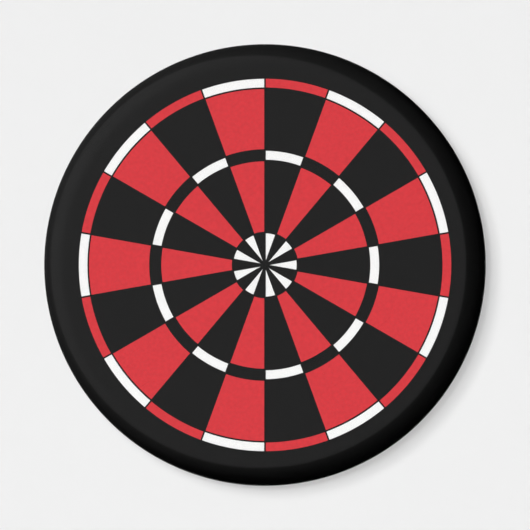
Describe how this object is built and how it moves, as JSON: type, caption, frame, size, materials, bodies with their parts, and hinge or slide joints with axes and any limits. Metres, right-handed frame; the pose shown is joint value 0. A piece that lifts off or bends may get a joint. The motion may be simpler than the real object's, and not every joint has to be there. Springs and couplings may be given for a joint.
{
  "type": "dartboard-pattern fridge magnet",
  "caption": "Round button magnet: a pressed metal disc with a rolled edge, a printed dartboard pattern under clear film, and a disc magnet in its back.",
  "frame": {"origin": "centre of the magnet's flat contact face", "axes": "-Y out of the printed face, +Y out of the magnet's contact face, +Z to the pattern's top"},
  "size_m": [0.0572, 0.0058, 0.0572],
  "materials": {
    "clear_film": "glossy clear polyester film, 0.05 mm",
    "black_ink": "solid black print on paper, seen through gloss film",
    "red_ink": "solid red print on paper, seen through gloss film",
    "white_paper": "bright white coated paper",
    "tinplate": "bright tin-plated steel sheet, 0.25 mm, with fine rolling lines",
    "adhesive": "translucent transfer adhesive",
    "ferrite": "pressed and sintered ferrite, ground flat, matt charcoal grey"
  },
  "bodies": {
    "root": {"clear_film_cover": "clear_film", "black_ink_ground": "black_ink", "red_ink_double_ring": "red_ink", "red_ink_outer_beds": "red_ink", "red_ink_inner_beds": "red_ink", "printed_paper_disc": "white_paper", "front_shell": "tinplate", "back_plate": "tinplate", "magnet_adhesive": "adhesive", "ferrite_magnet": "ferrite"}
  },
  "joints": []
}
